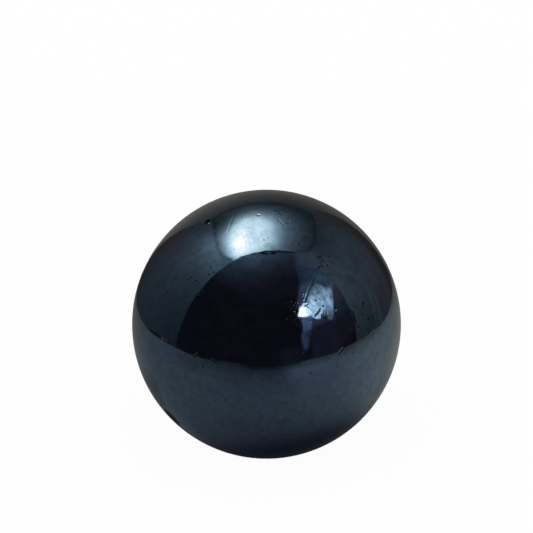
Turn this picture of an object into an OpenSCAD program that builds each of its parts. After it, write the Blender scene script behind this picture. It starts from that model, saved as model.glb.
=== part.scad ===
// Glass marble: one solid ball of near-black glass under a dark steel-blue lustre.
// The origin is the ball's centre and +Z is up. The ball rests on its lowest point.
// Its only other features are two old knocks: a shallow flake chip low on the left,
// and a small deep pit high on the left. Turns are measured round the ball from
// the front, -Y, towards the right, +X. Rises are measured from the equator up.

/* [Ball] */
// Diameter of the ball
ball_d = 42; // [25:0.5:60]

/* [Flake chip] */
// Width of the chip's round mouth
chip_w = 3.4; // [1:0.1:5]
// How far the chip is hollowed below the plane of its mouth
chip_hollow = 0.24; // [0.05:0.01:0.5]
// Turn of the chip round the ball, in degrees
chip_turn = -54; // [-180:1:180]
// Rise of the chip above the equator, in degrees
chip_rise = -29; // [-80:1:80]

/* [Pit] */
// Width of the pit's round mouth
pit_w = 1; // [0.3:0.1:2]
// How far the pit is hollowed below the plane of its mouth
pit_hollow = 0.25; // [0.05:0.01:0.3]
// Turn of the pit round the ball, in degrees
pit_turn = -65; // [-180:1:180]
// Rise of the pit above the equator, in degrees
pit_rise = 64; // [-80:1:80]

/* [Hidden] */
ball_r = ball_d / 2;
lustre_blue = [0.10, 0.14, 0.18];
ball_facets = 240;
scoop_facets = 96;

// The round body that a knock takes out of the surface: a ball whose near side
// reaches hollow below the mouth's plane and meets the surface on the mouth's rim.
module scoop(mouth_w, hollow, turn, rise) {
    mouth_r = mouth_w / 2;
    mouth_plane = sqrt(ball_r * ball_r - mouth_r * mouth_r);
    scoop_r = (mouth_r * mouth_r + hollow * hollow) / (2 * hollow);
    rotate([0, -rise, turn - 90])
        translate([mouth_plane - hollow + scoop_r, 0, 0])
            sphere(r = scoop_r, $fn = scoop_facets);
}

// The whole marble, with the two knocks taken out of the ball.
module marble() {
    color(lustre_blue)
        difference() {
            sphere(r = ball_r, $fn = ball_facets);
            scoop(chip_w, chip_hollow, chip_turn, chip_rise);
            scoop(pit_w, pit_hollow, pit_turn, pit_rise);
        }
}

marble();
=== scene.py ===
# %% [markdown]
# # A lustred glass marble
# The real object is one ball of opaque, nearly black glass, 42 mm across. While it was hot it
# was fumed with a thin metal film, which gives it a dark blue-grey mirror skin called a lustre.
# A mirror has hardly any colour of its own, so three things make its look: a very true ball
# with its real chip and pits, a metallic finish with small faults, and a room worth reflecting.

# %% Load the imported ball
import math

import bmesh
import bpy
import numpy as np
from mathutils import Matrix, Vector


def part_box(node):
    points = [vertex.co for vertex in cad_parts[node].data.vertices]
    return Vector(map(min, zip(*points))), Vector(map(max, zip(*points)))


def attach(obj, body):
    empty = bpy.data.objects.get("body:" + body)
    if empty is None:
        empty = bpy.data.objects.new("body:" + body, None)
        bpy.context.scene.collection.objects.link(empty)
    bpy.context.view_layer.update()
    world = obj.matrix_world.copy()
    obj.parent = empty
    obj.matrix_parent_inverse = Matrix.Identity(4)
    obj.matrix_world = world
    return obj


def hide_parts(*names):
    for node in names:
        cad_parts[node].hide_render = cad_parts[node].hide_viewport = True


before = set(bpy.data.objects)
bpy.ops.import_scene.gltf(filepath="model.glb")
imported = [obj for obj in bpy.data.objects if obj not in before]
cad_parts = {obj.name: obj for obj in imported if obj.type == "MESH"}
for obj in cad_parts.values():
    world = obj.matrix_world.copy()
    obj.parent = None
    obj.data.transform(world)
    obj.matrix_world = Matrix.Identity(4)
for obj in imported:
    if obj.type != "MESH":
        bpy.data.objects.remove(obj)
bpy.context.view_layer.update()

low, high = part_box("marble")
ball_r = (high.x - low.x) / 2
floor_z = low.z
MM = 0.001
print(f"ball radius {ball_r / MM:.2f} mm, rests on z = {floor_z / MM:.2f} mm")

# %% [markdown]
# ## The camera
# The marble is seen from a little above, so that the horizon of the room lies across its lower
# half. A constraint could aim the camera, but plain vectors say more: right, up and back are
# the camera's axes, and they become its rotation matrix. It leans by about two degrees, and its
# axis passes above the ball's centre, so the ball sits below the middle of the frame.

# %% Set the camera
def new_object(name, data):
    """An object in the scene, at the origin."""
    made = bpy.data.objects.new(name, data)
    bpy.context.scene.collection.objects.link(made)
    return made


SHARP_LENS = 85
view_rise = math.radians(25.4)
view_distance = 9.42 * ball_r
view_lean = math.radians(-1.87)
aim_above = math.radians(2.596)

toward_camera = Vector((0, -math.cos(view_rise), math.sin(view_rise)))
level_up = Vector((0, math.sin(view_rise), math.cos(view_rise)))
lean = Matrix.Rotation(view_lean, 3, toward_camera)
right = lean @ Vector((1, 0, 0))
nod = Matrix.Rotation(aim_above, 3, right)
camera_back = nod @ toward_camera
camera_up = nod @ (lean @ level_up)

camera_data = bpy.data.cameras.new("camera")
camera_data.lens = SHARP_LENS
camera_data.clip_start = 0.01
camera_data.clip_end = 20
camera = new_object("camera", camera_data)
camera_turn = Matrix((right, camera_up, camera_back)).transposed()
camera.matrix_world = Matrix.Translation(toward_camera * view_distance) @ camera_turn.to_4x4()
bpy.context.scene.camera = camera
bpy.context.scene.view_settings.view_transform = "Standard"
print(f"camera {view_distance / MM:.0f} mm from the ball's centre")

# %% [markdown]
# ## Writing node trees as sums
# A material is a small calculation made at every point of a surface. Placing Math nodes one by
# one hides that, so this class wraps a node's socket and lets Python's own operators add the
# nodes: `1 - mask * 0.5` becomes two Math nodes.

# %% Numbers that add up
def both_ways(operation):
    """The methods behind one of Python's signs: with the number first, and with it last."""

    def first(self, other):
        return self.recipe.maths(operation, self, other)

    def last(self, other):
        return self.recipe.maths(operation, other, self)

    return first, last


class Number:
    """A number that differs from point to point. Arithmetic on it adds Math nodes."""

    def __init__(self, recipe, socket):
        self.recipe = recipe
        self.socket = socket

    __add__, __radd__ = both_ways("ADD")
    __sub__, __rsub__ = both_ways("SUBTRACT")
    __mul__, __rmul__ = both_ways("MULTIPLY")
    __truediv__, __rtruediv__ = both_ways("DIVIDE")

    def __neg__(self):
        return self.recipe.maths("MULTIPLY", self, -1)

    def __abs__(self):
        return self.recipe.maths("ABSOLUTE", self)

    def up_to(self, other):
        return self.recipe.maths("MINIMUM", self, other)

    def at_least(self, other):
        return self.recipe.maths("MAXIMUM", self, other)

    def rising(self, start, end):
        """0 before start, 1 after end, and a smooth step between them."""
        sockets = {"Value": self, "From Min": start, "From Max": end}
        made = self.recipe.node("ShaderNodeMapRange", sockets, interpolation_type="SMOOTHSTEP")
        return Number(self.recipe, made.outputs["Result"])

    def falling(self, start, end):
        """1 before start and 0 after end."""
        return 1 - self.rising(start, end)

    def between(self, start, end, soft):
        """1 between start and end, with edges that fade over soft."""
        half = soft / 2
        return self.rising(start - half, start + half) * self.falling(end - half, end + half)

    def hypot(self, other):
        """The length of an arrow that has these two parts."""
        return self.recipe.maths("SQRT", self * self + other * other)

    def profile(self, *stops, blend="B_SPLINE"):
        """The height drawn by (place, height) stops, as a ramp."""
        first, last = stops[0][0], stops[-1][0]
        peak = max(height for place, height in stops)
        marks = [((place - first) / (last - first), height / peak) for place, height in stops]
        part = (self - first) / (last - first)
        ramp = self.recipe.node("ShaderNodeValToRGB", {"Fac": part}, stops=marks, blend=blend)
        return Number(self.recipe, ramp.outputs["Color"]) * peak

    def bent(self, *stops):
        """As a profile, with straight lines from stop to stop."""
        return self.profile(*stops, blend="LINEAR")


print("numbers ready")

# %% [markdown]
# Everything that isn't arithmetic on numbers comes from one method, `Recipe.node`. It sets a
# node's settings first and its sockets next, because some settings change which sockets there
# are. It serves shaders, the sky and Geometry Nodes alike.

# %% A recipe of nodes
class Recipe:
    """A node tree under construction."""

    def __init__(self, tree):
        self.tree = tree
        tree.nodes.clear()

    def node(self, kind, sockets=None, **settings):
        """Adds any node: its settings are set first, then each socket gets a value or a link."""
        made = self.tree.nodes.new(kind)
        for name, value in settings.items():
            if name == "stops":
                self.place_stops(made.color_ramp, value)
            elif name == "blend":
                made.color_ramp.interpolation = value
            else:
                setattr(made, name, value)
        for name, value in (sockets or {}).items():
            socket = self.find(made.inputs, name)
            source = value.socket if isinstance(value, Number) else value
            if isinstance(source, bpy.types.NodeSocket):
                self.tree.links.new(source, socket)
            else:
                socket.default_value = source
        return made

    def find(self, sockets, name):
        """A socket by its identifier, or else by its name or number."""
        for socket in sockets:
            if socket.identifier == name:
                return socket
        return sockets[name]

    def place_stops(self, ramp, stops):
        """Gives a ramp its stops, each a place and a grey."""
        while len(ramp.elements) > 1:
            ramp.elements.remove(ramp.elements[-1])
        for number, (place, grey) in enumerate(stops):
            element = ramp.elements[0] if number == 0 else ramp.elements.new(place)
            element.position = place
            element.color = (grey, grey, grey, 1)

    def maths(self, operation, *values):
        made = self.node("ShaderNodeMath", dict(enumerate(values)), operation=operation)
        return Number(self, made.outputs[0])

    def arrows(self, operation, *values):
        """Vector Math."""
        return self.node("ShaderNodeVectorMath", dict(enumerate(values)), operation=operation)

    def scaled(self, vector, size):
        """A colour or an arrow, times a number."""
        return self.node("ShaderNodeVectorMath", {0: vector, "Scale": size}, operation="SCALE").outputs[0]

    def blend(self, share, first, second):
        """Mixes two colours by share."""
        sockets = {"Factor_Float": share, "A_Color": first, "B_Color": second}
        made = self.node("ShaderNodeMix", sockets, data_type="RGBA", clamp_factor=True)
        return self.find(made.outputs, "Result_Color")

    def along(self, vector):
        """The three parts of a vector, as numbers."""
        parts = self.node("ShaderNodeSeparateXYZ", {"Vector": vector})
        return [Number(self, parts.outputs[axis]) for axis in "XYZ"]

    def noise(self, vector, scale, detail=2, roughness=0.5, stretch=0):
        sockets = {"Scale": scale, "Detail": detail, "Roughness": roughness, "Distortion": stretch}
        made = self.node("ShaderNodeTexNoise", {"Vector": vector, **sockets})
        return Number(self, made.outputs["Fac"])

    def place(self):
        """The point's place in its object's own coordinates."""
        return self.node("ShaderNodeTexCoord").outputs["Object"]


def new_material(name):
    """A material with an empty tree and the recipe that fills it."""
    material = bpy.data.materials.new(name)
    material.use_nodes = True
    return material, Recipe(material.node_tree)


def hue(red, blue):
    """A tint, as its red and blue against a green of 1."""
    return red, 1, blue, 1


print("node helpers ready")

# %% [markdown]
# ## The room that the ball mirrors
# A polished ball shows the whole room, squeezed into a disc. Small glossy things are usually
# stood in a light tent: a box of thin white cloth, open at the front, with a lamp on its roof
# and paper on its floor. Through the front the ball sees the dim room, and a window with a
# curtain. Lamps alone would leave a mirror black, so the tent is what has to be made. It could
# be five panels of cloth. One big shell that glows by direction does the same with no seams or
# noise: turn is the compass angle from the front towards the right, and rise is the height
# above the horizon, both in degrees.

# %% Directions on the shell
LOWEST_ROOF = 0.03


def bearings(recipe):
    """Turn and rise of a point on the shell, and its place on a flat roof one unit above the ball."""
    x, y, z = recipe.along(recipe.arrows("NORMALIZE", recipe.place()).outputs["Vector"])
    turn = recipe.maths("ARCTAN2", x, -y) * math.degrees(1)
    rise = recipe.maths("ARCSINE", z) * math.degrees(1)
    overhead = z.at_least(LOWEST_ROOF)
    return turn, rise, x / overhead, y / overhead


def mottle(across, along, detail=3):
    """Soft noise round 0, drawn in any two measures with grains of about one unit."""
    recipe = across.recipe
    where = recipe.node("ShaderNodeCombineXYZ", {"X": across, "Y": along}).outputs[0]
    return recipe.noise(where, 1, detail, 0.55) - 0.5


class Light:
    """The shell's brightness and tint, built up layer by layer."""

    def __init__(self, recipe, glow, tint):
        self.recipe = recipe
        self.glow = glow
        self.tint = tint

    def lay(self, mask, glow, tint):
        """Covers what is under the mask with another brightness and tint."""
        self.glow = self.glow + (glow - self.glow) * mask
        self.tint = self.recipe.blend(mask, self.tint, tint)

    def shade(self, mask, share):
        """Darkens what is under the mask to a share of its brightness."""
        self.glow = self.glow * (1 - mask * (1 - share))

    def wash(self, mask, tint):
        """Changes the tint under the mask and leaves the brightness."""
        self.tint = self.recipe.blend(mask, self.tint, tint)


WARM_DARK = hue(1.3, 1.42)
BROWN_DARK = hue(1.45, 1.25)
COOL_DIM = hue(0.82, 1.2)
DAYLIGHT = hue(0.8, 1.12)
DAYLIGHT_HOT = hue(1.15, 0.9)
DAYLIT_WALL = hue(0.84, 1.38)
SHADED_WALL = hue(0.88, 1.24)
CURTAIN_BLUE = hue(0.69, 1.56)
LEFT_CLOTH = hue(0.85, 1.07)
TEAL_CLOTH = hue(0.77, 1.1)
RIGHT_CLOTH = hue(0.92, 1.05)
ROSY_CLOTH = hue(1.13, 1.08)
BACK_CLOTH = hue(1.08, 0.94)
BACK_CREAM = hue(1.06, 0.83)
ROOF_CLOTH = hue(0.85, 1.05)
LAMP_FRINGE = hue(0.86, 0.95)
LAMP_WHITE = hue(1.02, 0.87)
LAMP_HOT = hue(1.28, 0.78)

# %% [markdown]
# ### The dim room
# Beyond the tent's open front the room is nearly dark and a little purple, and greyer towards
# its ceiling. It could be modelled, but a mirror this small shows only soft patches of it, so
# each patch is a product of two steps: one over turn and one over rise.

# %% Paint the dim room
def dim_room(recipe, turn, rise):
    glow = rise.profile(
        (0, 0.0155), (40, 0.016), (50, 0.021), (60, 0.036), (68, 0.06), (76, 0.13), (83, 0.2), (90, 0.21),
    )
    leftward = turn.profile((-80, 2.5), (-60, 1.9), (-30, 1.25), (0, 0.85), (30, 0.7), (60, 0.85), (90, 1))
    high = rise.rising(46, 60) * (1 - rise.rising(76, 84) * 0.6)
    glow = glow * (1 + (leftward - 1) * high)
    cloudy = mottle(turn / 24, rise / 9)
    light = Light(recipe, glow * (1 + cloudy * 0.7), WARM_DARK)
    light.wash((-turn).rising(48, 66), hue(1.06, 1.32))
    light.wash((-turn).rising(20, 50) * rise.falling(0, 10), hue(1.12, 1.4))
    light.wash((-turn).rising(30, 44) * rise.rising(38, 46), hue(1.16, 1.3))
    light.wash((rise - turn * 0.1).rising(50, 71), COOL_DIM)
    light.wash(turn.between(-8, 30, 16) * rise.falling(16, 30), hue(1.08, 1.36))
    light.wash(turn.between(10, 32, 10) * rise.between(50, 63, 7), hue(1.08, 1.08))
    light.lay(turn.rising(34, 37.5) * rise.falling(15, 22), 0.033, hue(1.21, 1.5))
    light.lay(turn.rising(58, 66) * rise.falling(8, 17), 0.028, BROWN_DARK)
    slant = rise - (turn - 60) * 0.36
    light.lay(turn.rising(57, 61) * (slant + 6).falling(-1.5, 1.5), 0.0165, BROWN_DARK)
    by_window = turn.rising(62, 68) * rise.between(15, 34, 5)
    light.lay(by_window, 0.056 + rise.rising(20, 28) * 0.034, hue(1.1, 1.35))
    light.lay(turn.between(10, 30, 7) * rise.between(-14, 4, 6), 0.024, WARM_DARK)
    cord = turn - rise.bent((12, 59.5), (16, 62.5), (20, 67.5), (25, 74), (29, 78))
    light.lay(abs(cord).falling(0.15, 0.75) * rise.between(13, 28, 3), 0.105, hue(1.1, 1.2))
    return light


print("dim room ready")

# %% [markdown]
# ### The window and its wall
# On the right a window lights the wall above it. Its upper and lower edges are drawn as two
# lines over turn, because its shape is irregular, and a little noise makes them ragged. A
# pleated blind hangs in it, which a sine over turn draws.

# %% Paint the window and its wall
def window_wall(light, turn, rise):
    """The lit wall round and over the window."""
    top = turn.bent(
        (27, 35), (35, 43.5), (42, 50.5), (47, 56), (54, 62), (60, 66), (67, 68), (80, 70), (90, 70),
    )
    under = (top - rise).rising(0, 6) * rise.rising(30, 36) * turn.rising(27, 33)
    glow = turn.profile(
        (27, 0.05), (42, 0.07), (50, 0.075), (58, 0.09), (66, 0.115), (74, 0.15), (82, 0.135), (90, 0.13),
    )
    low = rise.falling(44, 52)
    glow = glow + low * turn.profile(
        (27, 0.02), (38, 0.08), (46, 0.145), (55, 0.14), (61, 0.05),
        (68, 0.05), (75, 0.05), (79, 0), (90, 0),
    )
    clouds = mottle(turn / 11 + rise / 16, rise / 6)
    tint = light.recipe.blend(rise.rising(46, 58), DAYLIT_WALL, SHADED_WALL)
    light.lay(under, glow * (1 + clouds * 1.3), tint)
    light.lay(turn.between(40, 60, 4) * rise.between(16, 22, 3.5), 0.105, hue(0.95, 1.15))
    crease = rise - turn.bent((60, 66), (62.7, 63.5), (78.4, 48.8), (80, 46))
    light.shade(abs(crease).falling(0.3, 1.8) * turn.between(61, 79, 3), 0.78)
    light.shade(crease.rising(0.5, 2.5) * turn.between(64, 90, 6) * rise.falling(66, 70), 1.14)
    fold = rise - turn.bent((80, 69), (83, 67.2), (90.2, 49.7), (92, 46))
    light.shade(abs(fold).falling(0.3, 2) * turn.between(81, 90, 2), 0.72)


def window(light, turn, rise):
    upper = turn.bent(
        (28, 31), (31, 33), (34, 34.6), (38, 35.8), (42, 36.8), (46, 38.6), (51, 41), (57, 43.8),
        (62.5, 45), (64.6, 42.8), (66.8, 40), (68.6, 37.6), (71, 36.4), (75, 37.2), (81, 38.2),
    )
    lower = turn.bent(
        (28, 28), (31, 27), (35, 25.3), (40, 23.9), (43, 22), (46.5, 20.3),
        (49.5, 20.2), (51, 22.6), (54.4, 22.2), (55.4, 16.4), (58.6, 14.8), (61, 16.2),
        (62.7, 19.2), (65, 22.8), (68.6, 27.4), (72, 31.3), (76.6, 34.5), (81, 37),
    )
    left = 30.2 + (rise - 28).at_least(0) * 0.5
    ragged = mottle(turn / 1.1, rise / 1.1)
    turn = turn + ragged * 2.8
    rise = rise + mottle(rise / 0.9, turn / 1.4) * 2
    pane = (upper - rise).rising(-1.2, 2.6) * (rise - lower).rising(-0.5, 0.8)
    pane = pane * (turn - left).rising(-0.4, 0.4) * turn.falling(78.5, 79.5)
    ripples = mottle(turn, rise / 4.5, 2)
    glow = (turn + ripples * turn.rising(34, 38) * 6).profile(
        (29, 5), (33, 7.4), (36, 6.6), (38.5, 3.9), (41, 2.8), (47, 2.5), (53, 2),
        (58, 1.6), (63, 1.5), (67, 1.55), (70, 0.95), (73, 0.55), (76, 0.46), (81, 0.3),
    )
    by_rise = rise.profile(
        (16, 0.5), (20, 0.8), (25, 0.85), (29, 1), (33, 1), (36, 0.76), (39, 0.5), (42, 0.26), (45, 0.2),
    )
    glow = glow * by_rise * (1 - turn.falling(40, 47) * rise.rising(32.3, 35) * 0.84)
    glow = glow * (1 - turn.rising(50.5, 54) * rise.falling(18, 26) * 0.7)
    sway = mottle(turn / 7, rise / 5)
    pleats = light.recipe.maths("SINE", (turn + sway * 5 - 46.7) * (math.tau / 7.5))
    pleats = pleats * rise.between(21, 42, 5) * turn.rising(40, 46)
    crumples = mottle(turn / 2.6, rise / 3.4, 1) * turn.rising(42, 48)
    streaks = 0.7 + turn.rising(35, 38) * 1.1 - turn.rising(44, 50) * 0.7
    glow = glow * (1 + pleats * 0.28 + ripples * streaks + crumples * 1.5 + sway * 0.8).at_least(0.15)
    light.lay(pane, glow, light.recipe.blend(glow.rising(1.8, 4.4), DAYLIGHT, DAYLIGHT_HOT))
    notch = turn.between(51.4, 55.4, 1.4) * rise.between(17, 25, 3)
    light.shade(notch, 0.5)


print("window ready")

# %% [markdown]
# ### The curtain
# A narrow curtain hangs below the window's near end and lets blue light through. Its two edges
# are lines over rise, and noise that is squeezed sideways gives it upright streaks.

# %% Paint the curtain
def curtain(light, turn, rise):
    """A blue-lit curtain that hangs from the window's near end."""
    near = rise.bent((-3, 29.5), (2, 28.8), (8, 28.2), (12, 28.6), (15, 30.4), (20, 31.4), (26, 31.6))
    far = rise.bent((-3, 32.6), (1, 34), (7, 36.4), (12, 38), (15, 39.4), (20, 41.4), (26, 43.4))
    cloth = (turn - near).rising(-0.5, 1.2) * (far - turn).rising(-0.5, 2.8) * rise.between(-0.5, 25.5, 2)
    glow = rise.profile(
        (-2, 0.05), (1, 0.09), (4, 0.165), (8, 0.15), (12, 0.12),
        (15, 0.2), (18, 0.33), (22, 0.3), (26, 0.33),
    )
    glow = glow * (1 - turn.rising(31, 36) * 0.42 * rise.falling(12, 17))
    light.lay(cloth, glow * (1 + mottle(turn / 0.9, rise / 4.2) * 1.9), CURTAIN_BLUE)


print("curtain ready")

# %% [markdown]
# ### The tent's side walls
# The left wall is the brighter one near the roof, because the lamp stands on that side. Thin
# cloth is never quite flat, so upright folds run over both walls: many soft ones on the left,
# which noise draws, and a few clear ones on the right, each listed on its own.

# %% Paint the side walls
def left_wall(light, turn, rise):
    by_rise = rise.profile(
        (-16, 0.05), (0, 0.075), (10, 0.09), (20, 0.111), (30, 0.139), (40, 0.21), (50, 0.4), (60, 0.62),
    )
    by_turn = turn.profile(
        (-158, 0.5), (-148, 0.68), (-135, 0.99), (-120, 1.1), (-105, 0.96), (-90, 0.75), (-74, 0.6),
    )
    by_turn = by_turn * (1 - (-turn).rising(128, 146) * rise.rising(28, 42) * 0.25)
    by_turn = by_turn * (1 - turn.rising(-104, -90) * rise.rising(32, 42) * 0.14)
    by_turn = by_turn * (1 - turn.between(-112, -94, 10) * rise.rising(24, 34) * 0.1)
    front_edge = turn + rise.bent((-10, 79.2), (0, 77.8), (15, 76), (30, 75), (60, 74), (90, 74))
    folds = mottle(turn / 1.9, rise / 34) * turn.between(-152, -104, 14) * rise.rising(4, 20)
    clouds = mottle(turn / 9, rise / 8)
    glow = by_rise * by_turn * (1 + folds * 0.42 + clouds * 0.22)
    cloth = light.recipe.blend(turn.rising(-100, -84), LEFT_CLOTH, TEAL_CLOTH)
    light.lay(front_edge.falling(-0.5, 0.5), glow, cloth)
    light.wash(front_edge.falling(-0.5, 0.5) * rise.falling(8, 26), hue(0.84, 1.16))
    light.wash((-turn).rising(122, 148) * rise.between(2, 24, 12), ROSY_CLOTH)
    light.wash((-turn).rising(135, 150) * rise.falling(-4, 4), hue(0.95, 1.16))


# turn, lean, lowest rise, highest rise, brightness
FOLDS = [
    (101.6, 0.24, -9, 9, 0.05), (105.8, 0.1, -10, 8, 0.015), (109.8, 0.12, -10, 3, 0.055),
    (106, 0.2, 2, 12, 0.02), (103, -0.08, 24, 35, 0.03), (101, -0.5, 20, 30, -0.03),
]


def right_wall(light, turn, rise):
    by_rise = rise.profile(
        (-16, 0.06), (-5, 0.07), (4, 0.095), (12, 0.125), (20, 0.15), (35, 0.172), (50, 0.16), (66, 0.155),
    )
    by_turn = turn.profile(
        (79, 1.14), (88, 1.04), (105, 0.9), (120, 0.8), (135, 0.74), (147, 0.45), (160, 0.4),
    )
    by_turn = by_turn * (1 - turn.rising(92, 112) * rise.rising(30, 50) * 0.3)
    by_turn = by_turn * (1 + turn.between(106, 140, 8) * rise.falling(4, 16) * 0.28)
    front_edge = turn - rise.bent(
        (-10, 77.5), (0, 78), (8, 79.4), (16, 79), (28, 80), (40, 81), (60, 82), (90, 82),
    )
    glow = by_rise * by_turn
    for fold_turn, lean, low, high, strength in FOLDS:
        fold = turn - fold_turn - (rise - low) * lean
        glow = glow + abs(fold).falling(0.2, 1.5) * rise.between(low, high, 4) * strength
    clouds = mottle(turn / 12 + rise / 20, rise / 9)
    light.lay(front_edge.rising(-0.5, 0.5), glow * (1 + clouds * 0.45), RIGHT_CLOTH)
    light.wash(turn.rising(102, 128) * rise.falling(8, 28), ROSY_CLOTH)
    light.wash(turn.rising(136, 150), hue(1.12, 0.98))


print("side walls ready")

# %% [markdown]
# ### The back wall, with crumbs and a shadow on the paper's edge
# Behind the ball the cloth is warmer, and creamy near the paper. A few crumbs lie along the
# paper's far left edge, and the long dark streak there is a painted shadow in the gap under the
# paper's raised edge. Each is a small tilted oval, which is enough at this size.

# %% Paint the back wall
def back_wall(light, turn, rise):
    glow = rise.profile(
        (-20, 0.125), (-6, 0.17), (0, 0.165), (6, 0.158), (15, 0.14),
        (22, 0.117), (28, 0.1), (33, 0.072), (40, 0.07),
    )
    left_side = (-turn).profile((150, 1), (158, 1.16), (171, 1.2), (180, 0.92))
    glow = glow * left_side * turn.profile((150, 1), (158, 0.8), (172, 0.78), (180, 0.92))
    left_corner = rise.bent((-20, 166), (-12, 162), (-4, 157), (5, 153.5), (15, 151.5), (33, 149))
    corner = (-turn - left_corner).rising(-1.5, 1.5) + (turn - rise * 0.1).rising(155.2, 159)
    light.lay(corner.up_to(1), glow, BACK_CLOTH)
    light.wash(corner.up_to(1) * rise.falling(-4, 16), BACK_CREAM)


# turn, rise, half width, half height, lean, glow, tint
EDGE_CRUMBS_AND_SHADOW = [
    (-94.8, -8.9, 2.7, 0.65, 0.2, 0.15, hue(1.35, 0.45)), (-97.6, -9.6, 1.2, 0.9, 0, 0.02, BROWN_DARK),
    (-90, -8.4, 1.8, 0.4, 0.2, 0.15, hue(1, 0.9)), (-86.2, -8, 2.1, 1.2, 0, 0.032, hue(2.2, 0.7)),
    # the long dark streak is a painted shadow under the paper's raised edge
    (-104.3, -10.4, 8.4, 0.8, 0.145, 0.012, BROWN_DARK),
]


def crumbs_and_shadow_on_the_edge(light, turn, rise):
    """Crumbs along the paper's edge, and a painted shadow under its raised edge."""
    for side, height, half_width, half_height, lean, glow, tint in EDGE_CRUMBS_AND_SHADOW:
        across = (turn - side) / half_width
        along = (rise - height - (turn - side) * lean) / half_height
        light.lay(across.hypot(along).falling(0.6, 1.25), glow, tint)


print("back wall ready")

# %% [markdown]
# ### The roof and its lamp
# The roof is flat, so it is drawn on its own plan: across to the right and deep towards the
# back, in heights of the roof above the ball. The lamp makes a hot patch left of the middle
# that dies away quickly. The cloth is sewn on with rounded front corners, so its side seams
# bend inwards there, and a dark hem with a small hanging loop closes its front edge.

# %% Paint the roof
def oval(across, deep, middle, halves):
    """Distance from an oval's middle, which is 1 on its rim."""
    right = (across - middle[0]) / halves[0]
    back = (deep - middle[1]) / halves[1]
    return right.hypot(back)


def lamp_glow(across, deep):
    narrower = 1 + (-across).rising(0.1, 0.5) * deep.rising(0.45, 1) * 0.5
    from_left = (across + 0.17 - (deep - 0.3) * 0.07) * narrower
    away = oval(from_left, deep, (0, 0.3), (0.3, 0.47))
    glow = away.profile(
        (0, 3.3), (0.4, 3.4), (0.6, 3.3), (0.78, 2.9), (0.92, 2.25), (1.05, 1.6), (1.2, 1.02),
        (1.35, 0.7), (1.5, 0.48), (1.75, 0.31), (2.1, 0.18), (2.6, 0.1), (3.2, 0.075), (5, 0.06),
        blend="CARDINAL",
    )
    glow = glow * (1 - across.rising(-0.25, 0.15) * 0.12) * (1 - deep.rising(0.85, 1.15) * 0.15)
    glow = glow * (1.3 - oval(across, deep, (0.16, 0.11), (0.15, 0.2)).rising(0, 1) * 0.3)
    hot_spot = oval(across - deep * 0.12, deep, (-0.32, 0.15), (0.21, 0.42)).falling(0, 1)
    return glow + hot_spot * 1.5 + deep.rising(0.9, 1.4) * across.falling(-0.5, 0) * 0.03


def roof(light, across, deep, rise):
    recipe = light.recipe
    glow = lamp_glow(across, deep)
    overhead = rise.rising(10, 14)
    left_seam = -deep.bent(
        (-0.08, 0.42), (0, 0.505), (0.05, 0.545), (0.12, 0.573), (0.27, 0.6),
        (0.46, 0.617), (0.9, 0.655), (1.2, 0.682), (1.35, 0.688), (1.5, 0.62),
    )
    right_seam = deep.bent(
        (0, 0.38), (0.03, 0.46), (0.08, 0.55), (0.15, 0.615), (0.26, 0.65),
        (0.42, 0.67), (0.65, 0.67), (1.05, 0.686), (1.25, 0.69), (1.5, 0.66),
    )
    back_seam = 1.63 - across * across * 0.4 + across * 0.06
    inside = (across - left_seam).rising(-0.02, 0.02) * (right_seam - across).rising(-0.04, 0.04)
    inside = inside * (back_seam - deep).rising(-0.04, 0.04) * overhead
    hem = deep - (across * 0.09 + across.up_to(0) * 0.03 - 0.055)
    tint = recipe.blend(glow.rising(0.3, 1.5), ROOF_CLOTH, LAMP_FRINGE)
    tint = recipe.blend(glow.rising(1.6, 3.3), tint, LAMP_WHITE)
    tint = recipe.blend(glow.rising(3.4, 4.6), tint, LAMP_HOT)
    light.lay(inside * hem.rising(-0.012, 0.012), glow, tint)
    beside_seam = abs(across - left_seam).up_to(abs(across - right_seam))
    sewn = beside_seam.falling(0, 0.05) * deep.between(-0.05, 1.45, 0.1) * overhead
    light.shade(sewn, 0.66)
    far_seam = abs(deep - back_seam).falling(0, 0.16) * across.between(-0.7, 0.72, 0.1) * overhead
    light.shade(far_seam, 0.8)
    thick = 1 + across.between(0, 0.32, 0.15) * 0.6
    hem_line = (abs(hem) / thick).falling(0.006, 0.014)
    light.shade(hem_line * across.between(-0.33, 0.42, 0.1) * rise.rising(60, 70), 0.06)
    loop = oval(across, deep, (0.05, -0.072), (0.088, 0.032))
    light.shade(loop.between(0.42, 1.15, 0.35) * rise.rising(60, 70), 0.1)


print("roof ready")

# %% [markdown]
# ### The glowing shell
# The shell glows for the ball only: the camera and the floor look through it, to a plain white
# surround. A stage light that is hidden from some rays is common studio practice in rendering,
# and it is set on the object, so no material has to know where the camera is.

# %% Build the glowing shell
def glowing(name, paint):
    """A material that only shines, with the brightness and tint that paint gives."""
    material, recipe = new_material(name)
    glow, tint = paint(recipe)
    shine = recipe.node("ShaderNodeEmission", {"Color": recipe.scaled(tint, glow)})
    recipe.node("ShaderNodeOutputMaterial", {"Surface": shine.outputs[0]})
    material.cycles.emission_sampling = "NONE"
    return material


def tent_and_room(recipe):
    turn, rise, across, deep = bearings(recipe)
    light = dim_room(recipe, turn, rise)
    window_wall(light, turn, rise)
    window(light, turn, rise)
    curtain(light, turn, rise)
    left_wall(light, turn, rise)
    right_wall(light, turn, rise)
    back_wall(light, turn, rise)
    roof(light, across, deep, rise)
    crumbs_and_shadow_on_the_edge(light, turn, rise)
    return light.glow, light.tint


def stage_object(name, bm, material):
    """A mesh that isn't part of the marble."""
    mesh = bpy.data.meshes.new(name)
    bm.to_mesh(mesh)
    bm.free()
    mesh.materials.append(material)
    made = new_object(name, mesh)
    return made


def only_for_the_ball(thing):
    """Leaves a stage light to mirror rays: the camera, the floor and shadows don't meet it."""
    thing.visible_camera = False
    thing.visible_diffuse = False
    thing.visible_shadow = False


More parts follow.
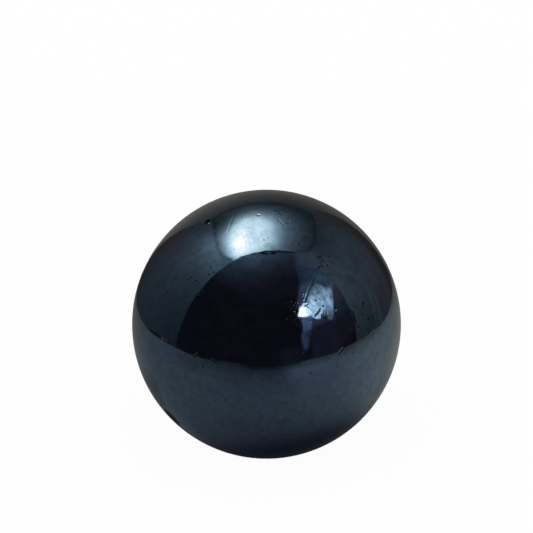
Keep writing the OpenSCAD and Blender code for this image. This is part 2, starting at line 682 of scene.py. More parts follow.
SHELL_R = 150 * ball_r
shell_bm = bmesh.new()
bmesh.ops.create_icosphere(shell_bm, subdivisions=5, radius=SHELL_R)
shell = stage_object("light_tent", shell_bm, glowing("tent_and_room", tent_and_room))
only_for_the_ball(shell)
print(f"shell radius {SHELL_R:.2f} m")

# %% [markdown]
# ### The sheet of paper under the ball
# The paper's outline is uneven, because it lies loosely in the tent. Like the shell it only
# glows, and its light and shade are painted into that glow: it is brightest on the right, where
# daylight falls on it, and a painted contact shadow darkens it towards the point where the ball
# stands.
# The ball mirrors it over its whole lower half.

# %% Lay the paper
PAPER_OUTLINE = [
    (-2.4, 3.7), (-4, 3.25), (-5.2, 2.5), (-6, 1.6), (-6.8, 0.8), (-7.4, -0.1), (-7.8, -1.4),
    (-7.7, -2.75), (-7.15, -3.5), (-7.05, -4.3), (-6.6, -4.85), (-6, -5.45), (-5.7, -7.1), (-5.3, -7.9),
    (-3.7, -8.6), (-1.5, -9.6), (1, -9.6), (2.6, -8.2), (4.9, -7.3), (5.8, -6.2), (6.4, -5.4),
    (7.9, -4.7), (8.2, -3.8), (8.5, -2.9), (8.8, -2), (8.2, -0.9), (7.9, 0.2), (6.9, 1.1),
    (6.3, 2.1), (5.5, 3.2), (4.5, 4.2), (3.3, 4.8),
]
PAPER_COOL = hue(0.9, 1.07)
PAPER_BLUE = hue(0.91, 1.19)
PAPER_SUNNY = hue(0.95, 0.93)
CONTACT_SHADOW_VIOLET = hue(0.98, 1.42)


def paper_light(recipe):
    place = recipe.place()
    x, y = (part / ball_r for part in recipe.along(place)[:2])
    compass = recipe.maths("ARCTAN2", x, -y) * math.degrees(1)
    by_compass = compass.profile(
        (-180, 0.16), (-150, 0.145), (-120, 0.195), (-90, 0.195), (-60, 0.172), (-30, 0.155),
        (0, 0.15), (15, 0.165), (30, 0.193), (45, 0.222), (60, 0.275), (75, 0.35),
        (90, 0.37), (105, 0.355), (120, 0.315), (150, 0.215), (180, 0.165),
    )
    # The ball's contact shadow is painted into the paper's glow here, darkest where the ball stands, with
    # more painted shade beside it on the sides.
    sideways = ((x - 0.2) / 1.12).at_least((0.2 - x) / 1.2)
    backward = y + 0.12
    backward = (backward * 1.5).at_least(backward * -0.93)
    under = sideways.hypot(backward)
    contact_shadow = under.profile(
        (0, 0.115), (0.42, 0.12), (0.52, 0.155), (0.6, 0.22), (0.68, 0.34), (0.8, 0.52),
        (0.9, 0.66), (1, 0.76), (1.12, 0.84), (1.3, 0.93), (1.5, 0.98), (1.8, 1),
        blend="CARDINAL",
    )
    beside = abs(compass).between(90, 150, 14) * x.hypot(y).falling(1.3, 2.3)
    contact_shadow = contact_shadow * (1 - beside * (0.3 + (-x).rising(0, 1) * 0.14))
    # The paper's painted light fades towards its front, back and side edges.
    front = (-y).profile((2, 1), (3, 0.84), (4, 0.67), (5, 0.54), (6, 0.42), (8, 0.38))
    spared = compass.rising(4, 22) + compass.falling(-100, -30) * 0.6
    front = 1 - (1 - front) * (1 - spared).at_least(0)
    front = front * (1 - (-y).rising(4.8, 8.2) * compass.between(-19, 26, 14) * 0.85)
    far = y.profile((1.5, 1), (2.5, 0.97), (3.2, 0.85), (4, 0.5), (5, 0.38))
    far = far * x.profile((-8, 0.8), (-4, 1), (4, 1), (8, 0.7))
    far = far * (1 - (-x).rising(-0.6, 1.6) * y.rising(3.2, 4.4) * 0.5)
    to_edge = 1 - (x + (-y).at_least(0) * 0.35).profile(
        (4, 0), (5.5, 0.08), (6.5, 0.24), (8, 0.4), (9.5, 0.5),
    )
    # Painted shade darkens an oval patch at the left front of the paper (hollow), and a painted pool of
    # daylight brightens one at the right front (sunlit).
    hollow = oval(x, y, (-4.6, -2.4), (2, 1.5)).falling(0.3, 1.1)
    sunlit = oval(x, y, (2.3, -4.3), (2, 1.6)).falling(0.3, 1.1)
    far = far * to_edge * (1 - hollow * 0.24) * (1 + sunlit * 0.2)
    grain = (recipe.noise(place, 90, 3) - 0.5) * 0.12 + (recipe.noise(place, 420, 3) - 0.5) * 0.22
    glow = by_compass * contact_shadow * front * far * (1 + grain)
    sunny = compass.rising(35, 105).at_least((-compass).rising(85, 135))
    tint = recipe.blend(sunny, PAPER_COOL, PAPER_SUNNY)
    tint = recipe.blend(compass.between(-35, 50, 30) * (-y).rising(1.1, 3.2), tint, PAPER_BLUE)
    # The painted contact shadow is tinted violet.
    tint = recipe.blend(under.falling(0.45, 1.05) * (1 - x.rising(0.1, 0.6) * 0.6), tint, CONTACT_SHADOW_VIOLET)
    tint = recipe.blend(glow.falling(0.018, 0.034) * (-y).rising(5, 7), tint, WARM_DARK)
    return glow.at_least(0.0145), tint


paper_bm = bmesh.new()
corners = [paper_bm.verts.new((x * ball_r, y * ball_r, floor_z)) for x, y in PAPER_OUTLINE]
middle = paper_bm.verts.new((0, 0, floor_z))
for number, corner in enumerate(corners):
    paper_bm.faces.new((middle, corner, corners[number - 1]))
bmesh.ops.recalc_face_normals(paper_bm, faces=paper_bm.faces)
paper = stage_object("paper_sheet", paper_bm, glowing("lit_paper", paper_light))
only_for_the_ball(paper)
print(f"paper with {len(PAPER_OUTLINE)} corners laid")

# %% [markdown]
# ### The pale floor that the camera sees
# The floor is white card under an even white sky. Part of its white is its own glow, so the
# ball's shadow stays faint. Its far edge has the sky's own colour, and no horizon shows.

# %% Make the floor and the sky
SKY_WHITE = 1.0
FLOOR_GLOW = 0.96
FLOOR_R = 12


def floor_material():
    material, recipe = new_material("white_card")
    place = recipe.place()
    fibre = recipe.noise(place, 900, 4)
    white = SKY_WHITE - FLOOR_GLOW
    grey = recipe.blend(fibre, (white * 0.985,) * 3 + (1,), (white * 1.015,) * 3 + (1,))
    card = recipe.node("ShaderNodeBsdfDiffuse", {"Color": grey, "Roughness": 1})
    glow = recipe.node("ShaderNodeEmission", {"Color": (1, 1, 1, 1), "Strength": FLOOR_GLOW})
    both = recipe.node("ShaderNodeAddShader", {0: card.outputs[0], 1: glow.outputs[0]})
    recipe.node("ShaderNodeOutputMaterial", {"Surface": both.outputs[0]})
    material.cycles.emission_sampling = "NONE"
    return material


floor_bm = bmesh.new()
bmesh.ops.create_circle(floor_bm, cap_ends=True, segments=96, radius=FLOOR_R)
bmesh.ops.translate(floor_bm, verts=floor_bm.verts, vec=(0, 0, floor_z))
floor = stage_object("white_floor", floor_bm, floor_material())
floor.visible_glossy = False

world = bpy.data.worlds.new("white_sky")
world.use_nodes = True
sky = Recipe(world.node_tree)
sky_glow = sky.node("ShaderNodeBackground", {"Color": (1, 1, 1, 1), "Strength": SKY_WHITE})
sky.node("ShaderNodeOutputWorld", {"Surface": sky_glow.outputs[0]})
bpy.context.scene.world = world
print("floor and sky made")

# %% [markdown]
# ## Places on the ball
# Every mark on the marble is placed by two angles, as a town is on a globe: its turn to the
# right of the front, and its rise above the middle. To give a mark a shape, a small flat map is
# laid on the ball there and read in millimetres. The same few functions then cut every hollow
# and groove, which is easier to trust than moving points by hand.

# %% Angles, and flat maps laid on the ball
BALL_MM = ball_r / MM
SAME_SIDE = 0.5
FAR_AWAY = 1e3


def out_to(turn, rise):
    """The unit arrow from the ball's centre to a place on its skin."""
    turn, rise = math.radians(turn), math.radians(rise)
    return np.array((math.sin(turn) * math.cos(rise), -math.cos(turn) * math.cos(rise), math.sin(rise)))


class Patch:
    """A flat map on the ball round one place. It reads right and up, in millimetres."""

    def __init__(self, out):
        self.out = out / np.linalg.norm(out)
        self.right = np.cross((0, 0, 1), self.out)
        self.right /= np.linalg.norm(self.right)
        self.up = np.cross(self.out, self.right)

    def read(self, arrows):
        return arrows @ self.right * BALL_MM, arrows @ self.up * BALL_MM

    def away(self, arrows):
        """Distances from the map's middle, along the skin."""
        return np.arccos(np.clip(arrows @ self.out, -1, 1)) * BALL_MM


def smooth_step(start, end, value):
    part = np.clip((value - start) / (end - start), 0, 1)
    return part * part * (3 - 2 * part)


def away_from_path(arrows, path):
    """Distances from a path of places, which is taken as straight between them."""
    outs = [out_to(turn, rise) for turn, rise in path]
    patch = Patch(np.sum(outs, axis=0))
    right, up = patch.read(arrows)
    near = np.full(len(arrows), FAR_AWAY)
    for start, end in zip(outs, outs[1:]):
        x0, y0 = patch.read(start)
        x1, y1 = patch.read(end)
        length_2 = (x1 - x0) ** 2 + (y1 - y0) ** 2
        along = np.clip(((right - x0) * (x1 - x0) + (up - y0) * (y1 - y0)) / length_2, 0, 1)
        gap = np.hypot(right - x0 - along * (x1 - x0), up - y0 - along * (y1 - y0))
        near = np.minimum(near, gap)
    near[arrows @ patch.out < SAME_SIDE] = FAR_AWAY
    return near


print(f"one degree on the skin is {math.radians(BALL_MM):.3f} mm")

# %% [markdown]
# ## The list of damage
# This marble has been used. It has one chip and one deeper pit, which are cut into the solid
# model too, and scratches, small hits, and specks of dirt that the glass picked up while it was
# soft. Each has its own place here. The hundreds of pinholes that have no place of their own are
# scattered by Geometry Nodes further down. A stain says what a mark does to the metal film:
# `bare` glass shows where it is gone, `rust` is dirt fused into it, and `soot` is dull and black.

# %% Hollows, hits and grooves
CHIP = {"width": 3.4, "hollow": 0.24, "turn": -54, "rise": -29, "stain": "bare", "scorch": 0.02}
DEEP_PIT = {"width": 1, "hollow": 0.25, "turn": -65, "rise": 64, "stain": "soot", "scorch": 0.04}

# stain and its strength, width and depth in mm, and the places, each a turn and a rise
HITS = [
    (None, 0, 0.55, 0.05, [(-6.8, 74.7)]),
    (None, 0, 0.5, 0.045, [(-59.9, 64.1)]),
    (None, 0, 0.42, 0.026, [(30.1, 69), (-20.7, 33.6)]),
    (None, 0, 0.34, 0.018, [(31.7, 26.5)]),
    (None, 0, 0.28, 0.016, [(18.2, 35), (14.4, 13), (-33.7, 34.2), (-32, 35.7)]),
    (None, 0, 0.17, 0.006, [
        (15.1, 33.8), (14.9, 32.1), (14.1, 35.9), (12.7, 24.1), (13.8, 32.2),
        (12.7, 31.3), (11.6, 30.2), (12.8, 29.1), (12.9, 34.8),
    ]),
    ("bare", 1, 0.4, 0.02, [(26.3, 29.2), (35.1, 48.5), (54, 52.7)]),
    ("bare", 0.9, 0.34, 0.016, [
        (23.3, 32.1), (17.8, 34.2), (25.5, 56.1), (48.3, 18), (-31.2, 42.7), (-37.6, 39.3),
        (45, 21), (33.8, 44.3), (-32.1, 46), (33.3, 48.6), (31.5, 44.8), (33.2, 44.9),
    ]),
    ("bare", 0.8, 0.28, 0.01, [
        (19.1, 31.1), (19, 29.9), (19.2, 24.5), (27.4, 24.9), (31.1, 70.3), (29, 57.6), (0.2, 60.3),
        (-41.4, 39.9), (-28.8, 44.1), (-43.1, 38.9), (-50.6, 37.1), (50.5, 46), (69.5, 32.3), (58, 31.6),
        (41.3, 17.1), (37, 32), (32.1, 8.8), (-7.8, 4.6), (-2.4, 3.6), (41.3, 47.6), (37, 44.4),
        (30.5, 44.3), (-62.7, 23.4), (16.9, 4.2), (-32.1, -11.8), (-17.2, -6.6), (-26.3, 6.5), (35.1, 75),
        (40.4, 17.3), (42.5, 11.8), (47.7, 18.2), (36.2, 7.8), (28.4, 5.4),
    ]),
    ("bare", 0.6, 0.36, 0.006, [(33.3, 59.1), (35.1, 58.3), (25.7, 67.7), (18.2, 74.3)]),
    ("bare", 0.5, 0.24, 0.006, [
        (36.3, 47.3), (32.8, 44.8), (31.1, 44.2), (-41.2, 39.7), (-45.6, 38.8), (-52, 37.7),
        (-52, 35.9), (-35, -12.4), (-14.8, -8.3), (-16.2, -9.9), (-23.8, -12.3), (-11, 5.9),
        (-42.7, 4.9), (-38.5, -0.4), (-23.7, 6.9), (34, 46.3), (27.3, 5.7), (30.4, 8.6),
        (12.6, 7.8), (9.1, -12), (5.9, -16.5), (2.9, 57.5), (-40.5, 46.9), (-21.1, 55.1),
    ]),
    ("bare", 0.3, 0.26, 0.003, [
        (-25.3, 68.3), (-22.6, 68.5), (-18, 69.4), (-26, 66), (-19.9, 67.5), (-16.2, 66.5),
        (-14.4, 64.6), (-14.4, 62.7), (-12.4, 61), (-14.1, 59.9), (-10.7, 59.3), (-16.3, 61.6),
        (-15, 66.8), (-12.9, 62), (-18.6, 66.2), (-13.5, 58.9),
    ]),
    ("bare", 0.35, 0.6, 0.002, [(-60.4, 30.6), (-61, 24.6), (-61.2, 16.2)]),
    ("rust", 0.9, 0.4, 0.01, [(56.4, 62.3), (44.3, 57), (51.8, 45.9), (37.4, 46.1)]),
    ("rust", 0.8, 0.5, 0.006, [(-46.5, 51.3), (32.2, 46.6), (36.2, 43.6), (34.4, 46.4)]),
    ("rust", 0.25, 1.1, 0.001, [(3, 57.7), (6.4, 56.6), (34.3, 45.6), (33, 47.4)]),
    ("rust", 0.4, 0.3, 0.004, [(16, 1.2), (20.5, -0.9), (3.5, 46.5), (-47.5, 62.1), (-60.2, 30)]),
]

# path of places, width, depth and height of the lips in mm, stain, strength of the stain
GROOVES = [
    ([(-49.5, 76.2), (-33.2, 63.1)], 0.44, 0.0036, 0.0006, None, 0),
    ([(18.9, 71), (22.4, 66.4)], 0.36, 0.009, 0.001, "bare", 0.2),
    ([(26, 41), (21.3, 36.7), (18, 32.4)], 0.46, 0.0065, 0.0012, "bare", 0.15),
    ([(21.8, 26.6), (23, 27.3), (24.2, 28.3)], 0.4, 0, 0, "bare", 0.75),
    ([(47.9, 25), (46.9, 23.9)], 0.42, 0.01, 0.002, "bare", 0.9),
    ([(39.9, 23.8), (40.2, 21.5), (40, 19.3)], 0.34, 0.009, 0.001, "bare", 0.9),
    ([(21.9, 26), (22.9, 26.3), (24.2, 27.2), (25, 28.2)], 0.62, 0.014, 0, None, 0),
    ([(-30.5, 10.1), (-29.4, 11.4)], 0.32, 0.014, 0.001, None, 0),
    ([(-22.4, 10.2), (-20.7, 9.3)], 0.28, 0.012, 0.001, "bare", 0.6),
    ([(29.2, 9.5), (31.4, 11)], 0.42, 0.018, 0.002, None, 0),
    ([(47.7, 11.7), (50, 12.3)], 0.4, 0.014, 0.001, None, 0),
    ([(81, 59.6), (63, 58.8)], 0.34, 0.005, 0.0008, None, 0),
    ([(21.8, 77.2), (28.1, 76.5)], 0.6, 0.006, 0, "bare", 0.6),
    ([(24.8, 74.9), (28.1, 73.6)], 0.55, 0.006, 0, "bare", 0.6),
    ([(26.1, 43.3), (29.4, 43.6)], 0.3, 0.006, 0, "bare", 0.5),
    ([(34.6, 48.2), (36.3, 47.3), (35.4, 45.4)], 0.34, 0.006, 0, "rust", 0.5),
]
print(f"{sum(len(places) for *rest, places in HITS)} hits and {len(GROOVES)} grooves have their own places")

# %% [markdown]
# ## A round mesh that is finer where it matters
# A UV sphere has poles, where a mirror shows a star. An icosphere has triangles of nearly one
# size all over, so reflections stay true. Its triangles are 0.4 mm, far too coarse for a
# 0.2 mm pinhole, and halving them everywhere would make a mesh of millions. So only the
# triangles near a mark are split, up to three times, and each new point is put back on the ball.
# Some splits leave a triangle with no width, and turning its longest edge mends it.

# %% Split the triangles near the marks
LIP_ROOM = 0.005 * MM
base_r = ball_r - LIP_ROOM
SPLIT_MARGINS = (0.44, 0.22, 0.1)
SLIVER = 0.02


def arrows_of(points):
    return points / np.linalg.norm(points, axis=1)[:, None]


def turn_slivers(bm, faces):
    """Gives each triangle with no width a width, by turning its longest edge the other way."""
    longest = []
    for face in faces:
        edge = max(face.edges, key=lambda edge: edge.calc_length())
        if face.calc_area() < SLIVER * edge.calc_length() ** 2:
            longest.append(edge)
    bmesh.ops.rotate_edges(bm, edges=list(dict.fromkeys(longest)), use_ccw=False)


def refine(bm, wants):
    """Splits what is near each wanted place: a unit arrow, a reach in mm and a number of splits."""
    for number, margin in enumerate(SPLIT_MARGINS):
        chosen = [(out, reach) for out, reach, splits in wants if splits > number]
        outs = np.array([out for out, reach in chosen], dtype=np.float32)
        least = np.cos(np.array([(reach + margin) / BALL_MM for out, reach in chosen], dtype=np.float32))
        bm.verts.index_update()
        points = np.array([vert.co[:] for vert in bm.verts], dtype=np.float32)
        near = (arrows_of(points) @ outs.T > least).any(axis=1)
        edges = [edge for edge in bm.edges if near[edge.verts[0].index] and near[edge.verts[1].index]]
        bmesh.ops.subdivide_edges(bm, edges=edges, cuts=1, use_grid_fill=True)
        made = bmesh.ops.triangulate(bm, faces=[face for face in bm.faces if len(face.verts) > 3])
        turn_slivers(bm, made["faces"])
        for vert in bm.verts:
            vert.co = vert.co.normalized() * base_r


def places_on(path, step=0.3):
    """Arrows every step mm along a path of places."""
    outs = []
    for start, end in zip(path, path[1:]):
        first, last = out_to(*start), out_to(*end)
        count = max(2, int(np.linalg.norm(last - first) * BALL_MM / step) + 1)
        outs += [first + (last - first) * part for part in np.linspace(0, 1, count)]
    return [out / np.linalg.norm(out) for out in outs]


RIPPLE = Patch(out_to(25, 31.5))
RIPPLE_REACH = 4
wants = [(RIPPLE.out, RIPPLE_REACH, 2)]
for kind, strength, width, depth, places in HITS:
    wants += [(out_to(turn, rise), width * 0.6, 3) for turn, rise in places]
for path, width, *rest in GROOVES:
    wants += [(out, width * 0.8, 3 if width < 0.5 else 2) for out in places_on(path)]
for scoop in (CHIP, DEEP_PIT):
    wants.append((out_to(scoop["turn"], scoop["rise"]), scoop["width"] / 2 + 0.1, 3))
print(f"{len(wants)} places ask for finer triangles")

# %% [markdown]
# ## Scattering the pinholes
# Where gas or grit sat in the hot film there are pinholes, thinly spread and gathered in
# clouds. Nobody would place them one by one. Geometry Nodes spreads points on the ball, with a
# least distance between them and a noise that thins them out, and turns them into loose points
# that the next steps can use.

# %% A Geometry Nodes tree with named inputs
def new_grower(name, inputs):
    """A tree with a mesh in, a mesh out and named inputs. Returns the tree, its recipe and its inputs."""
    tree = bpy.data.node_groups.new(name, "GeometryNodeTree")
    tree.is_modifier = True
    tree.interface.new_socket("Geometry", in_out="INPUT", socket_type="NodeSocketGeometry")
    tree.interface.new_socket("Geometry", in_out="OUTPUT", socket_type="NodeSocketGeometry")
    for label, kind in inputs:
        tree.interface.new_socket(label, in_out="INPUT", socket_type="NodeSocket" + kind)
    recipe = Recipe(tree)
    given = recipe.node("NodeGroupInput").outputs
    return tree, recipe, given


def finish_grower(recipe, geometry, material):
    """Ends a tree: real points and faces, with a material."""
    real = recipe.node("GeometryNodeRealizeInstances", {"Geometry": geometry})
    dressed = recipe.node("GeometryNodeSetMaterial", {"Geometry": real.outputs[0], "Material": material})
    recipe.node("NodeGroupOutput", {"Geometry": dressed.outputs[0]})


def grow(name, mesh, tree, values):
    """Runs a tree on a mesh and returns the plain mesh it made."""
    carrier = new_object(name, mesh)
    modifier = carrier.modifiers.new(name, "NODES")
    modifier.node_group = tree
    for item in tree.interface.items_tree:
        if item.item_type == "SOCKET" and item.in_out == "INPUT" and item.name in values:
            modifier[item.identifier] = values[item.name]
    deps = bpy.context.evaluated_depsgraph_get()
    grown = bpy.data.meshes.new_from_object(carrier.evaluated_get(deps))
    carrier.modifiers.remove(modifier)
    bpy.data.objects.remove(carrier)
    return grown


lustre, lustre_recipe = new_material("fumed_lustre")

scatter, recipe, given = new_grower(
    "scatter_pinholes",
    [("Least distance", "Float"), ("Crowd", "Float"), ("Cloud size", "Float"), ("Seed", "Int")],
)
spot = recipe.node("GeometryNodeInputPosition").outputs[0]
cloud = recipe.noise(spot, given["Cloud size"], 2, 0.6)
sockets = {
    "Mesh": given["Geometry"], "Distance Min": given["Least distance"], "Density Max": given["Crowd"],
    "Density Factor": cloud.rising(0.42, 0.68), "Seed": given["Seed"],
}
spread = recipe.node("GeometryNodeDistributePointsOnFaces", sockets, distribute_method="POISSON")
loose = recipe.node("GeometryNodePointsToVertices", {"Points": spread.outputs["Points"]})
finish_grower(recipe, loose.outputs[0], lustre)

bm = bmesh.new()
bmesh.ops.create_icosphere(bm, subdivisions=5, radius=base_r)
plain_ball = bpy.data.meshes.new("plain_ball")
bm.to_mesh(plain_ball)
bm.free()
pinhole_mesh = grow(
    "scatter_pinholes", plain_ball, scatter,
    {"Least distance": 0.7 * MM, "Crowd": 90000.0, "Cloud size": 170.0, "Seed": 7},
)
pinholes = np.array([vert.co[:] for vert in pinhole_mesh.vertices])
wants += [(out, 0.12, 3) for out in arrows_of(pinholes)]
print(f"{len(pinholes)} pinholes scattered")

# %% [markdown]
# ## The mesh
# The glass is one closed skin. A subdivision modifier would split all of it alike. Here bmesh
# splits only what the list asks for, once, because every wanted place is known by now.

# %% Make the mesh
bm = bmesh.new()
bmesh.ops.create_icosphere(bm, subdivisions=7, radius=base_r)
refine(bm, wants)
ball_mesh = bpy.data.meshes.new("marble_glass")
bm.to_mesh(ball_mesh)
bm.free()
print(f"{len(ball_mesh.polygons)} triangles")

# %% [markdown]
# ## Cutting the marks
# Every hollow, groove and wave is a height in millimetres over the true ball, worked out for
# all points at once with numpy, and added up. A hit in glass leaves a smooth bowl, so it is
# deepest in its middle and meets the skin without an edge. A scratch pushes up a thin lip on
# both sides, and that lip is what catches the light.

# %% Heights over the ball
points = np.empty(len(ball_mesh.vertices) * 3, dtype=np.float32)
ball_mesh.vertices.foreach_get("co", points)
arrows = arrows_of(points.reshape(-1, 3).astype(np.float64))
height = np.zeros(len(arrows))
stains = {name: np.zeros(len(arrows)) for name in ("bare", "rust", "soot")}
random = np.random.default_rng(11)


def dish(away, width, depth):
    """A smooth bowl."""
    part = np.clip(1 - (away / (width / 2)) ** 2, 0, 1)
    return -depth * part * part


def stain(kind, mask):
    stains[kind] = np.maximum(stains[kind], mask)


for kind, strength, width, depth, places in HITS:
    for turn, rise in places:
        away = Patch(out_to(turn, rise)).away(arrows) * (1 + random.uniform(-0.2, 0.2))
        height += dish(away, width, depth)
        if kind:
            stain(kind, strength * (1 - smooth_step(0.32, 0.52, away / width)))

for path, width, depth, lip, kind, strength in GROOVES:
    away = away_from_path(arrows, path) / (width / 2)
    height += dish(away, 2, depth) + lip * np.exp(-(((away - 1.25) / 0.3) ** 2))
    if kind:
        stain(kind, strength * (1 - smooth_step(0.5, 0.95, away)))
print(f"marks reach {-height.min() * 1000:.0f} micrometres deep")

# %% [markdown]
# ### Waves in the glass
# Glass that cools against a mould isn't quite even, and a mirror shows it: one patch bends the
# window's edge, and a faint peel covers the rest. A displace modifier with a texture could do
# it. A few plane waves in random headings are as good, and their height is known exactly.

# %% Add the waves
def swell(right, up, size, seed, count=6):
    """A soft random field about one high: plane waves of about one size."""
    dice = np.random.default_rng(seed)
    total = 0
    for _ in range(count):
        heading = dice.uniform(0, 2 * math.pi)
        step = 2 * math.pi / (size * dice.uniform(0.7, 1.4))
        distance = right * math.cos(heading) + up * math.sin(heading)
        total = total + np.sin(distance * step + dice.uniform(0, 6.3))
    return total / math.sqrt(count / 2)


right, up = RIPPLE.read(arrows)
facing = arrows @ RIPPLE.out > 0.9
middle = np.hypot(right / np.where(right > 0, 2.1, 3.6), up / 3.2)
inside = (1 - smooth_step(0.55, 1.05, middle)) * facing
rings = np.hypot(right + 2.4, up + 2) / 0.85 + 0.28 * swell(right, up, 2.2, 3)
height += inside * (0.0016 * np.sin(2 * math.pi * rings) + 0.0012 * swell(right, up, 1.5, 5))

front_right, front_up = arrows[:, 0] * BALL_MM, arrows[:, 2] * BALL_MM
depthwise = arrows[:, 1] * BALL_MM
peel = swell(front_right + depthwise * 0.7, front_up - depthwise * 0.7, 1.7, 21, 9)
peel = peel + swell(front_right * 0.7 - front_up * 0.7, depthwise + front_up * 0.3, 2.3, 22, 9)
height += 0.00022 * peel
print(f"waves up to {height.max() * 1000:.1f} micrometres high")

# %% [markdown]
# ### The chip and the deep pit
# A flake that breaks off glass leaves part of a ball, with a crisp rim and fine ridges round
# where it was struck. Both hollows are cut with the same sizes as in the solid model. A boolean
# could cut them, but it would leave long thin triangles. Here the nearest points slide onto the
# rim, and the points inside it are lowered onto the hollow.

# %% Cut the chip and the deep pit
RIDGE_STEP = 0.42
RIDGE_HEIGHT = 0.002
corners = np.empty(len(ball_mesh.polygons) * 3, dtype=np.int32)
ball_mesh.polygons.foreach_get("vertices", corners)
corners = corners.reshape(-1, 3)
THINNEST = 1.2e-6  # twice the least area a triangle may keep, on a ball of radius 1
RIM_REACH = 0.022


def moved_to_rim(arrows, out, rim_angle, reach):
    """Slides the points near a rim onto it, apart from those that would fold a triangle over."""
    moving = abs(np.arccos(np.clip(arrows @ out, -1, 1)) - rim_angle) < reach
    side = arrows[moving] - np.outer(arrows[moving] @ out, out)
    side /= np.linalg.norm(side, axis=1)[:, None]
    moved = arrows.copy()
    moved[moving] = out * math.cos(rim_angle) + side * math.sin(rim_angle)
    for _ in range(4):
        first, second, third = (moved[corners[:, number]] for number in range(3))
        turned = np.einsum("ij,ij->i", np.cross(second - first, third - first), first) < THINNEST
        spoilt = np.intersect1d(corners[turned], np.flatnonzero(moving))
        moved[spoilt] = arrows[spoilt]
    return moved


radius_mm = base_r / MM + np.minimum(height, LIP_ROOM / MM * 0.95)
for scoop in (CHIP, DEEP_PIT):
    patch = Patch(out_to(scoop["turn"], scoop["rise"]))
    mouth_r = scoop["width"] / 2
    mouth_plane = math.sqrt(BALL_MM ** 2 - mouth_r ** 2)
    scoop_r = (mouth_r ** 2 + scoop["hollow"] ** 2) / (2 * scoop["hollow"])
    centre = mouth_plane - scoop["hollow"] + scoop_r
    rim_angle = math.asin(mouth_r / BALL_MM)
    arrows = moved_to_rim(arrows, patch.out, rim_angle, RIM_REACH / BALL_MM)
    cosine = np.clip(arrows @ patch.out, -1, 1)
    to_rim = (np.arccos(cosine) - rim_angle) * BALL_MM
    under = np.maximum(scoop_r ** 2 - centre ** 2 * (1 - cosine ** 2), 0)
    wall = centre * cosine - np.sqrt(under)
    cut = (cosine > math.cos(rim_angle * 1.01)) & (wall < radius_mm)
    right, up = patch.read(arrows)
    from_blow = np.hypot(right + mouth_r, up - mouth_r * 0.6)
    ridges = np.sin(2 * math.pi * from_blow / RIDGE_STEP) * RIDGE_HEIGHT
    radius_mm[cut] = wall[cut] + ridges[cut] * smooth_step(0, 0.25, -to_rim[cut])
    stain(scoop["stain"], 1 - smooth_step(0, scoop["scorch"], to_rim))
    deepest = BALL_MM - radius_mm[cut].min()
    print(f"hollow {scoop['width']} mm wide holds {cut.sum()} points, {deepest:.3f} mm deep")

ball_mesh.vertices.foreach_set("co", (arrows * radius_mm[:, None] * MM).astype(np.float32).ravel())
for name, values in stains.items():
    layer = ball_mesh.attributes.new(name, "FLOAT", "POINT")
    layer.data.foreach_set("value", values.astype(np.float32))
ball_mesh.update()

# %% [markdown]
# ## Pressing the pinholes in
# A second Geometry Nodes tree presses a small bowl at each scattered point. Each vertex looks
# for its nearest pinhole, and moves inwards by the bowl's depth at that distance. The tree also
# stores how much of the film is gone there, as a named attribute that the finish reads.

# %% Press the pinholes
press, recipe, given = new_grower(
    "press_pinholes",
    [("Centres", "Object"), ("Narrowest", "Float"), ("Widest", "Float"), ("Depth share", "Float"),
     ("Seed", "Int")],
)
centres = recipe.node("GeometryNodeObjectInfo", {"Object": given["Centres"]}).outputs["Geometry"]
spot = recipe.node("GeometryNodeInputPosition").outputs[0]
nearest = recipe.node("GeometryNodeSampleNearest", {"Geometry": centres, "Sample Position": spot})
nearest = nearest.outputs[0]
sockets = {"Geometry": centres, "Value": spot, "Index": nearest}
found = recipe.node("GeometryNodeSampleIndex", sockets, data_type="FLOAT_VECTOR")
away = Number(recipe, recipe.arrows("DISTANCE", spot, found.outputs[0]).outputs["Value"])
sockets = {"Min_001": given["Narrowest"], "Max_001": given["Widest"], "ID": nearest, "Seed": given["Seed"]}
width = recipe.node("FunctionNodeRandomValue", sockets, data_type="FLOAT")
width = Number(recipe, recipe.find(width.outputs, "Value_001"))
across = away / (width * 0.5)
bowl = (1 - across * across).at_least(0)
sink = bowl * bowl * width * Number(recipe, given["Depth share"])
outward = recipe.arrows("NORMALIZE", spot).outputs[0]
shift = recipe.scaled(outward, -sink)
pressed = recipe.node("GeometryNodeSetPosition", {"Geometry": given["Geometry"], "Offset": shift})
film_gone = across.falling(0.6, 1.15)
sockets = {"Geometry": pressed.outputs[0], "Name": "pinhole", "Value": film_gone}
noted = recipe.node("GeometryNodeStoreNamedAttribute", sockets, data_type="FLOAT", domain="POINT")
finish_grower(recipe, noted.outputs[0], lustre)

pinhole_points = new_object("pinhole_points", pinhole_mesh)
marble_mesh = grow(
    "press_pinholes", ball_mesh, press,
    {"Centres": pinhole_points, "Narrowest": 0.14 * MM, "Widest": 0.3 * MM, "Depth share": 0.06, "Seed": 3},
)
bpy.data.objects.remove(pinhole_points)
print(f"{len(marble_mesh.polygons)} triangles with pinholes")

# %% [markdown]
# ## The lustre
# A fumed film is metal a few hundred atoms thick over nearly black glass. It mirrors about a
# fifth of the light that falls on it straight, blue a little more than red, and almost all of it
# at a grazing angle. A metallic Principled shader with a dark blue base colour does just that.
# The film is never quite even, so noise at three sizes moves its colour and brightness by a few
# parts in a hundred. Where the stains say so, bare glass, rust or soot take its place. Where the
# film is wholly gone, as in the chip, the finish isn't metallic and dull dark glass shows.

# %% The finish
OLIVE_FILM = (0.144, 0.216, 0.266, 1)
VIOLET_FILM = (0.156, 0.204, 0.295, 1)
THIN_FILM = (0.026, 0.03, 0.04, 1)
RUST_BROWN = (0.12, 0.07, 0.05, 1)
SOOT_BLACK = (0.008, 0.008, 0.009, 1)
BARE_GLASS = (0.004, 0.006, 0.012, 1)
recipe = lustre_recipe
place = recipe.place()


def stain_mask(name):
    return Number(recipe, recipe.node("ShaderNodeAttribute", attribute_name=name).outputs["Fac"])


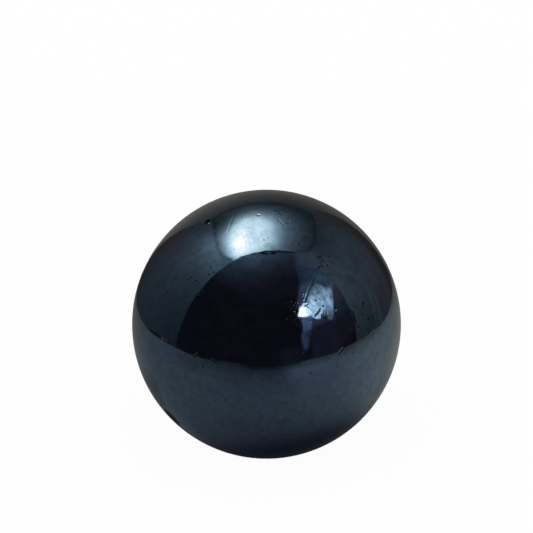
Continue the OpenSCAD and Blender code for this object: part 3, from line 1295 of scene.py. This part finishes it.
cloud = recipe.noise(place, 230, 3, 0.55)
blotches = recipe.noise(place, 900, 3, 0.6)
grain = recipe.noise(place, 3200, 2, 0.6)
patchy = recipe.noise(place, 1700, 2, 0.6, 0.3)
violet = patchy.rising(0.3, 0.7) * 0.7 + cloud.rising(0.35, 0.65) * 0.3
film = recipe.blend(violet, OLIVE_FILM, VIOLET_FILM)
bright = 1 + (cloud - 0.5) * 0.24 + (blotches - 0.5) * 0.66 + (grain - 0.5) * 0.5
film = recipe.scaled(film, bright)
cells = recipe.node("ShaderNodeTexVoronoi", {"Vector": place, "Scale": 620, "Randomness": 1})
dice = recipe.node("ShaderNodeTexWhiteNoise", {"Vector": cells.outputs["Position"]})
dice = Number(recipe, dice.outputs["Value"])
from_speck = Number(recipe, cells.outputs["Distance"]) - (dice - 0.5) * 0.16
dust = from_speck.falling(0, 0.06)
dust = dust * cloud.rising(0.35, 0.6) * dice.rising(0.55, 1)
bare = stain_mask("bare").at_least(stain_mask("pinhole") * 0.85).at_least(dust * 0.55)
rust = stain_mask("rust") * recipe.noise(place, 5000, 2).rising(0.3, 0.55)
soot = stain_mask("soot")
colour = recipe.blend(bare, film, THIN_FILM)
colour = recipe.blend(rust, colour, RUST_BROWN)
colour = recipe.blend(soot, colour, SOOT_BLACK)
stripped = bare.rising(0.92, 1)
colour = recipe.blend(stripped, colour, BARE_GLASS)
shine = 0.045 + (blotches - 0.4).at_least(0) * 0.06 + bare * 0.12 + rust * 0.5 + soot * 0.6
relief = recipe.noise(place, 2400, 2, 0.5)
bump = recipe.node("ShaderNodeBump", {"Strength": 0.1, "Distance": 0.00002, "Height": relief})
sockets = {"Base Color": colour, "Metallic": 1 - stripped, "Roughness": shine, "Normal": bump.outputs[0]}
gloss = recipe.node("ShaderNodeBsdfPrincipled", {**sockets, "Specular IOR Level": 0.02})
recipe.node("ShaderNodeOutputMaterial", {"Surface": gloss.outputs[0]})

marble_mesh.name = "marble_glass"
marble_mesh.polygons.foreach_set("use_smooth", [True] * len(marble_mesh.polygons))
marble = new_object("marble_glass", marble_mesh)
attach(marble, "root")
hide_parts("marble")
print(f"lustre of {len(lustre.node_tree.nodes)} nodes on the marble")
